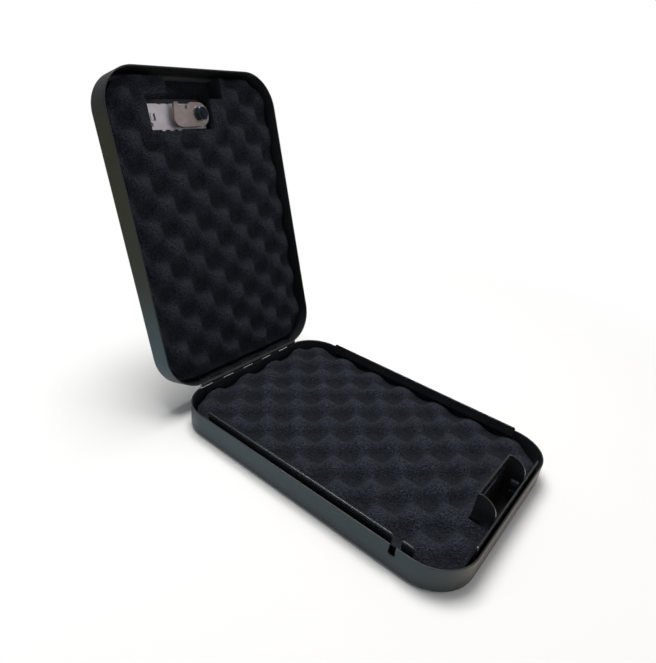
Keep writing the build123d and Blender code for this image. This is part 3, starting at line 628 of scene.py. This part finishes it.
def pad_grid(low, high, corner, foam, openings):
    """Egg-crate pad. A point of the grid lies at a share of its row, whose half width follows the rounded
    outline: full in the middle, and at an angle t into a corner the straight part plus the corner's radius
    times cos t. The height is the mid height plus half a crest times the product of two cosines, one across
    and one along. A smooth step of that product makes the flanks steeper. Close to the pad's edge the crests
    sink, and close to an opening the foam levels out."""
    half_x, half_y = (high[0] - low[0]) / 2, (high[1] - low[1]) / 2
    middle_x, middle_y = (high[0] + low[0]) / 2, (high[1] + low[1]) / 2
    straight = half_y - corner
    turn = np.linspace(0, math.pi / 2, math.ceil(corner * CORNER_ROWS / foam.cell) + 1)
    run = np.linspace(-straight, straight, math.ceil(2 * straight / foam.cell) + 1)
    beyond = straight + corner * np.sin(turn[1:])
    narrowing = half_x - corner + corner * np.cos(turn[1:])
    rows = np.concatenate([-beyond[::-1], run, beyond])
    widths = np.concatenate([narrowing[::-1], np.full(len(run), half_x), narrowing])
    share = np.linspace(-1, 1, math.ceil(2 * half_x / foam.cell) + 1)
    x = middle_x + widths[:, None] * share[None, :]
    y = middle_y + np.repeat(rows[:, None], len(share), axis=1)
    across = 2 * math.pi * (x - foam.phase_across) / foam.pitch_across
    along = 2 * math.pi * (y - foam.phase_along) / foam.pitch_along
    wave = np.cos(across) * np.cos(along)
    square = np.sin(UNEVEN_X * x + UNEVEN_SHIFT_X) * np.sin(UNEVEN_Y * y + UNEVEN_SHIFT_Y)
    uneven = foam.uneven * (square + np.sin(SLANT_X * x - SLANT_Y * y) - 1) / 2
    even = (wave + 1) / 2
    even = even + foam.steep * (even ** 3 * (6 * even ** 2 - 15 * even + 10) - even)
    edge = np.minimum(widths[:, None] * (1 - abs(share[None, :])), half_y - abs(y - middle_y))
    even = even * (1 - foam.hem * closeness(edge, foam.ease))
    for (x0, y0), (x1, y1) in openings:
        away_x = np.clip(np.maximum(x0 - x, x - x1), 0, None)
        away_y = np.clip(np.maximum(y0 - y, y - y1), 0, None)
        away = np.hypot(away_x, away_y)
        even = even + (foam.level - even) * closeness(away, foam.ease)
    return x, y, high[2] - foam.crest + (foam.crest + uneven) * even


def closed_solid(x, y, height, floor):
    """Vertices and faces of the solid between a height grid and a flat floor, whose face is one polygon."""
    rows, columns = x.shape
    top = np.stack([x, y, height], axis=-1).reshape(-1, 3)
    index = np.arange(rows * columns).reshape(rows, columns)
    quads = np.stack([index[:-1, :-1], index[:-1, 1:], index[1:, 1:], index[1:, :-1]], axis=-1)
    ring = np.concatenate([index[0, :-1], index[:-1, -1], index[-1, :0:-1], index[:0:-1, 0]])
    under = top[ring].copy()
    under[:, 2] = floor
    low = np.arange(len(ring)) + len(top)
    sides = np.stack([ring, low, np.roll(low, -1), np.roll(ring, -1)], axis=-1)
    faces = quads.reshape(-1, 4).tolist() + sides.tolist() + [low[::-1].tolist()]
    return np.concatenate([top, under]), faces


def mark_lightness(piece, height, lightness):
    """Stores painted light and shade at each point of a pad's relief, by its height: darker in the valleys, lighter on
    the crests, and 0 for the pad's underside.
    """
    low, high = lightness
    values = np.zeros(len(piece.data.vertices))
    values[:height.size] = low + (high - low) * (height.ravel() - height.min()) / np.ptp(height)
    piece.data.attributes.new("lightness", "FLOAT", "POINT").data.foreach_set("value", values)


def cut_boxes(piece, boxes, place=None):
    """Cuts boxes out of a piece, each given by two corners and put in place by a function."""
    for number, (low, high) in enumerate(boxes):
        corners = np.array([[x, y, z] for x in (low[0], high[0]) for y in (low[1], high[1])
                            for z in (low[2], high[2])])
        sides = [(0, 1, 3, 2), (4, 6, 7, 5), (0, 4, 5, 1), (2, 3, 7, 6), (0, 2, 6, 4), (1, 5, 7, 3)]
        cutter = mesh_object(f"cutter_{number}", place(corners) if place else corners, sides)
        cut = piece.modifiers.new("cut", "BOOLEAN")
        cut.operation = "DIFFERENCE"
        cut.solver = "EXACT"
        cut.object = cutter
        bpy.context.view_layer.update()
        graph = bpy.context.evaluated_depsgraph_get()
        mesh = bpy.data.meshes.new_from_object(piece.evaluated_get(graph))
        piece.modifiers.clear()
        old, piece.data = piece.data, mesh
        bpy.data.meshes.remove(old)
        bpy.data.objects.remove(cutter)


def make_base_foam(foam, finish):
    """The base's pad, cut clear of the catch bracket."""
    low, high = (np.array(corner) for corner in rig.box("base_foam"))
    inset = low[0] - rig.box("base_shell")[0][0]
    bracket_low, bracket_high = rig.box("catch_bracket")
    left, right = bracket_low[0] - BRACKET_CLEAR, bracket_high[0] + BRACKET_CLEAR
    opening = ((left, low[1]), (right, bracket_high[1]))
    x, y, height = pad_grid(low, high, CASE_CORNER - inset, foam, [opening])
    vertices, faces = closed_solid(x, y, height, low[2])
    piece = mesh_object("foam_in_base", vertices, faces)
    # Painted shade: darker valleys and lighter crests on the base's pad.
    mark_lightness(piece, height, BASE_PAINTED_RELIEF_LIGHT)
    cut_boxes(piece, [((left, low[1] - CUT_BEYOND, low[2] - CUT_BEYOND),
                       (right, bracket_high[1] + BRACKET_CLEAR, high[2] + CUT_BEYOND))])
    join_safe(piece, finish, "base_foam", stands_for=("base_foam",))
    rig.padded(piece, fill=foam.fill)


def make_lid_foam(foam, finish):
    """The lid's pad, turned over to make its relief, then cut out for the lock, for its back plate and, but
    for a thin skin, for the catch bracket."""
    low, high = closed_box("lid_foam")
    inset = low[0] - closed_box("lid_shell")[0][0]
    bracket_low, bracket_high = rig.box("catch_bracket")
    plate_low, plate_high = closed_box("lock_chassis")
    screw_low = closed_box("chassis_screws")[0]
    under, over = low[2] - CUT_BEYOND, high[2] + CUT_BEYOND
    window = ((PIVOT_X - WINDOW_LEFT, bracket_high[1], under),
              (PIVOT_X + WINDOW_RIGHT, LOCK_Y + WINDOW_REAR, over))
    recess = ((bracket_low[0] - BRACKET_CLEAR, low[1] - CUT_BEYOND, under),
              (bracket_high[0] + BRACKET_CLEAR, bracket_high[1] + RECESS_REAR, high[2] - RECESS_FLOOR))
    pocket = ((plate_low[0] - POCKET_CLEAR, plate_low[1] - POCKET_CLEAR, screw_low[2] - POCKET_CLEAR / 2),
              (plate_high[0] + POCKET_CLEAR, plate_high[1] + POCKET_CLEAR, over))
    upside_low = np.array([low[0], -high[1], -high[2]])
    upside_high = np.array([high[0], -low[1], -low[2]])
    openings = [((near[0], -far[1]), (far[0], -near[1])) for near, far in (window, recess)]
    x, y, height = pad_grid(upside_low, upside_high, CASE_CORNER - inset, foam, openings)
    vertices, faces = closed_solid(x, y, height, upside_low[2])
    piece = mesh_object("foam_in_lid", opened(vertices * np.array([1, -1, -1])), faces)
    # Painted shade: the lid's pad is darker overall, with a narrower range from valley to crest.
    mark_lightness(piece, height, LID_PAINTED_RELIEF_LIGHT)
    cut_boxes(piece, [window, recess, pocket], place=opened)
    join_safe(piece, finish, "lid_foam", stands_for=("lid_foam",))
    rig.padded(piece, fill=foam.fill)


class SAFE_OT_case(Operator):
    """Finish the shells, the lip strips, the catch bracket and the hinge"""

    bl_idname = "safe.case"
    bl_label = "Case"

    def execute(self, context):
        case = context.scene.safe_case
        coat = powder_coat("black powder coat", case, case.roughness)
        glossy = powder_coat("glossier black coat", case, case.small_roughness, specular=1.0, relief=0.35)
        for node in ("base_shell", "lid_shell"):
            finish_node(node, coat)
        for node in ("hinge_base_leaf", "hinge_lid_leaf"):
            finish_node(node, glossy)
        for node in ("side_strip_left_rear", "side_strip_left_front", "side_strip_right", "front_strip",
                     "catch_bracket"):
            softened(node, glossy, case.edge)
        finish_node("hinge_pin", turned_metal("hinge pin steel", context.scene.safe_lock.steel))
        return {"FINISHED"}


class SAFE_OT_foam(Operator):
    """Make the two egg-crate foam pads"""

    bl_idname = "safe.foam"
    bl_label = "Foam"

    def execute(self, context):
        foam = context.scene.safe_foam
        finish = open_cell_foam(foam)
        make_base_foam(foam, finish)
        make_lid_foam(foam, finish)
        return {"FINISHED"}


class SAFE_OT_lock(Operator):
    """Finish the lock's back plate, cam and fixings"""

    bl_idname = "safe.lock"
    bl_label = "Lock"

    def execute(self, context):
        lock = context.scene.safe_lock
        zinc = cast_zinc("satin zinc", lock.zinc, metallic=0.5, roughness=0.55, marks=0.4)
        steel = turned_metal("bright steel", lock.steel)
        for node in ("lock_chassis", "reset_tab"):
            softened(node, zinc, lock.edge)
        softened("lock_cam", cast_zinc("dull zinc", lock.cam, metallic=0.6, roughness=0.45), lock.edge)
        finish_node("lock_spindle", cast_zinc("blackened zinc", scaled(lock.black, 0.8)))
        softened("cam_washer", steel, lock.edge / 2)
        softened("cam_nut", turned_metal("black zinc plate", lock.black, roughness=0.3), lock.edge)
        for node in ("chassis_screws", "dial_axle", "detent_spring", "fence_spring", "lock_fence"):
            finish_node(node, steel)
        brass = turned_metal("hub brass", BRASS)
        for node in ("dial_hub_1", "dial_hub_2", "dial_hub_3"):
            finish_node(node, brass)
        return {"FINISHED"}


class SAFE_OT_dials(Operator):
    """Finish the bezel, the knob and the number wheels, and put numbers on the wheels"""

    bl_idname = "safe.dials"
    bl_label = "Dials"

    def execute(self, context):
        lock = context.scene.safe_lock
        case = context.scene.safe_case
        softened("lock_bezel", powder_coat("black bezel coat", case, case.roughness), lock.edge)
        softened("lock_knob", cast_zinc("satin nickel", lock.nickel), lock.edge)
        wheel = moulded_plastic("wheel plastic", WHEEL_BLACK)
        paint = number_paint()
        for count in (1, 2, 3):
            softened(f"dial_{count}", wheel, lock.edge / 2)
            wheel_numbers(f"dial_{count}", lock, paint)
        return {"FINISHED"}


def wheel_numbers(node, lock, paint):
    """Ten numbers round a wheel. A number's height runs round the wheel, so a point at height v stands at the
    number's own angle plus v over the radius, and its relief adds to the radius."""
    low, high = closed_box(node)
    radius = (high[2] - low[2]) / 2
    middle = (low + high) / 2
    vertices, faces = [], []
    for digit in range(DIGITS):
        text = bpy.data.curves.new(f"digit_{digit}", "FONT")
        text.body = str(digit)
        text.size = lock.number_height / NUMBER_SHARE
        text.align_x = "CENTER"
        text.align_y = "CENTER"
        text.extrude = lock.number_raise
        holder = bpy.data.objects.new(text.name, text)
        bpy.context.scene.collection.objects.link(holder)
        bpy.context.view_layer.update()
        graph = bpy.context.evaluated_depsgraph_get()
        shape = bpy.data.meshes.new_from_object(holder.evaluated_get(graph))
        flat = np.empty(len(shape.vertices) * 3)
        shape.vertices.foreach_get("co", flat)
        flat = flat.reshape(-1, 3)
        angle = 2 * math.pi * digit / DIGITS + flat[:, 1] / radius
        reach = radius + flat[:, 2]
        round_it = np.stack([middle[0] + flat[:, 0], middle[1] + reach * np.sin(angle),
                             middle[2] + reach * np.cos(angle)], axis=-1)
        start = sum(len(part) for part in vertices)
        faces += [[start + corner for corner in face.vertices] for face in shape.polygons]
        vertices.append(round_it)
        bpy.data.objects.remove(holder)
        bpy.data.meshes.remove(shape)
        bpy.data.curves.remove(text)
    piece = mesh_object(node + "_numbers", opened(np.concatenate(vertices)), faces)
    join_safe(piece, paint, node)


class SAFE_OT_stage(Operator):
    """Set up the floor, the lamps, the background and the camera"""

    bl_idname = "safe.stage"
    bl_label = "Stage"

    def execute(self, context):
        stage = context.scene.safe_stage
        make_floor(stage)
        make_sky(stage)
        for name, place, size, colour, power in LAMPS:
            lamp(name, place, size, getattr(stage, power), colour)
        make_camera()
        context.scene.view_settings.view_transform = "Standard"
        return {"FINISHED"}


def make_floor(stage):
    """A square floor that fades into the white background away from the safe. Reflections see it tinted by
    side, and dimmer and in a colour of its own far away."""
    half = stage.floor_size / 2
    corners = [(-half, -half, 0), (half, -half, 0), (half, half, 0), (-half, half, 0)]
    floor = mesh_object("floor", corners, [(0, 1, 2, 3)])
    finish = Finish("floor paper")
    place = {0: finish.where()}
    reach = finish.node("ShaderNodeVectorMath", {"operation": "LENGTH"}, place, output="Value")
    across = finish.node("ShaderNodeSeparateXYZ", values=place)
    clear = reach.ramp(stage.clear_radius * CLEAR_FROM, stage.clear_radius)
    dim = reach.ramp(stage.dim_radius * DIM_FROM, stage.dim_radius)
    seen = finish.node("ShaderNodeLightPath", output="Is Camera Ray")
    mirrored = finish.node("ShaderNodeLightPath", output="Is Glossy Ray")
    tinted = finish.mix(across.ramp(COOL_X, WARM_X), stage.cool, stage.warm)
    colour = finish.mix(mirrored, stage.floor, tinted)
    paper = finish.node("ShaderNodeBsdfPrincipled", values={"Base Color": colour, "Roughness": 0.9,
                                                            "Specular IOR Level": 0.1})
    far = finish.node("ShaderNodeEmission", values={"Color": colour_of(stage.far),
                                                    "Strength": stage.dim_level})
    white = finish.node("ShaderNodeEmission", values={"Color": WHITE, "Strength": 1.0})
    dimmed = finish.node("ShaderNodeMixShader", values={0: dim * mirrored, 1: paper, 2: far})
    both = finish.node("ShaderNodeMixShader", values={0: clear * seen, 1: dimmed, 2: white})
    floor.data.materials.append(finish.end(both))
    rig.stage(floor)


def make_sky(stage):
    """Even light all round, and white where the camera sees past the floor."""
    world = bpy.data.worlds.new("studio")
    world.use_nodes = True
    bpy.context.scene.world = world
    nodes, links = world.node_tree.nodes, world.node_tree.links
    nodes.clear()
    path = nodes.new("ShaderNodeLightPath")
    strength = nodes.new("ShaderNodeMapRange")
    strength.inputs["To Min"].default_value = stage.sky_level
    strength.inputs["To Max"].default_value = 1.0
    light = nodes.new("ShaderNodeBackground")
    light.inputs["Color"].default_value = WHITE
    output = nodes.new("ShaderNodeOutputWorld")
    links.new(path.outputs["Is Camera Ray"], strength.inputs["Value"])
    links.new(strength.outputs[0], light.inputs["Strength"])
    links.new(light.outputs[0], output.inputs["Surface"])


def lamp(name, place, size, power, colour):
    """A square area lamp that looks at the safe and isn't seen itself."""
    light = bpy.data.lights.new(name, "AREA")
    light.size = size
    light.energy = power
    light.color = colour
    holder = bpy.data.objects.new(name, light)
    holder.visible_camera = False
    holder.location = place
    holder.rotation_euler = (SIGHT_TARGET - Vector(place)).to_track_quat("-Z", "Y").to_euler()
    bpy.context.scene.collection.objects.link(holder)


def make_camera():
    """The photograph's camera: its turn, tilt and roll about the line of sight, and its frame's shift."""
    angles = (SIGHT_AZIMUTH, SIGHT_ELEVATION, SIGHT_ROLL)
    azimuth, elevation, roll = (math.radians(angle) for angle in angles)
    back = Vector((math.sin(azimuth) * math.cos(elevation), -math.cos(azimuth) * math.cos(elevation),
                   math.sin(elevation)))
    right = (-back).cross(Vector((0, 0, 1))).normalized()
    up = right.cross(-back)
    rolled_right = math.cos(roll) * right + math.sin(roll) * up
    rolled_up = math.cos(roll) * up - math.sin(roll) * right
    camera = bpy.data.cameras.new("photo camera")
    camera.sensor_width = SENSOR
    long_side = max(IMAGE_WIDTH, IMAGE_HEIGHT)
    camera.lens = FOCAL_PIXELS * SENSOR / long_side
    camera.shift_x = (IMAGE_WIDTH / 2 - SIGHT_PIXEL_X) / long_side
    camera.shift_y = (SIGHT_PIXEL_Y - IMAGE_HEIGHT / 2) / long_side
    camera.clip_start = 0.01
    holder = bpy.data.objects.new("photo camera", camera)
    turn = Matrix((rolled_right, rolled_up, back)).transposed().to_4x4()
    holder.matrix_world = Matrix.Translation(SIGHT_TARGET + back * SIGHT_DISTANCE) @ turn
    bpy.context.scene.collection.objects.link(holder)
    bpy.context.scene.camera = holder


class SAFE_PT_panel(Panel):
    """The safe's pieces and their sizes, in the sidebar"""

    bl_idname = "SAFE_PT_panel"
    bl_label = "Safe"
    bl_space_type = "VIEW_3D"
    bl_region_type = "UI"
    bl_category = "Safe"

    def draw(self, context):
        for step, settings in (("case", "safe_case"), ("foam", "safe_foam"), ("lock", "safe_lock"),
                               ("dials", None), ("stage", "safe_stage")):
            box = self.layout.box()
            box.operator("safe." + step)
            group = getattr(context.scene, settings) if settings else None
            for name in group.bl_rna.properties.keys() if group else ():
                if name not in ("rna_type", "name"):
                    box.prop(group, name)


SETTINGS = {"safe_case": CaseSettings, "safe_foam": FoamSettings, "safe_lock": LockSettings,
            "safe_stage": StageSettings}
CLASSES = (CaseSettings, FoamSettings, LockSettings, StageSettings, SAFE_OT_case, SAFE_OT_foam, SAFE_OT_lock,
           SAFE_OT_dials, SAFE_OT_stage, SAFE_PT_panel)


def register():
    """Registers the classes and hangs each group of settings on the scene."""
    for kind in CLASSES:
        bpy.utils.register_class(kind)
    for name, group in SETTINGS.items():
        setattr(bpy.types.Scene, name, PointerProperty(type=group))


def unregister():
    """Takes the settings and the classes away again."""
    for name in SETTINGS:
        delattr(bpy.types.Scene, name)
    for kind in reversed(CLASSES):
        bpy.utils.unregister_class(kind)


def main():
    """Makes everything in order and writes the two boxes, the solids' and the finished safe's."""
    register()
    bpy.ops.safe.case()
    bpy.ops.safe.foam()
    bpy.ops.safe.lock()
    bpy.ops.safe.dials()
    bpy.ops.safe.stage()
    low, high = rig.bounds()
    with open("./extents.json", "w") as sizes:
        json.dump({"cad": [list(CAD_LOW), list(CAD_HIGH)], "visual": [list(low), list(high)]}, sizes)


if __name__ == "__main__":
    main()
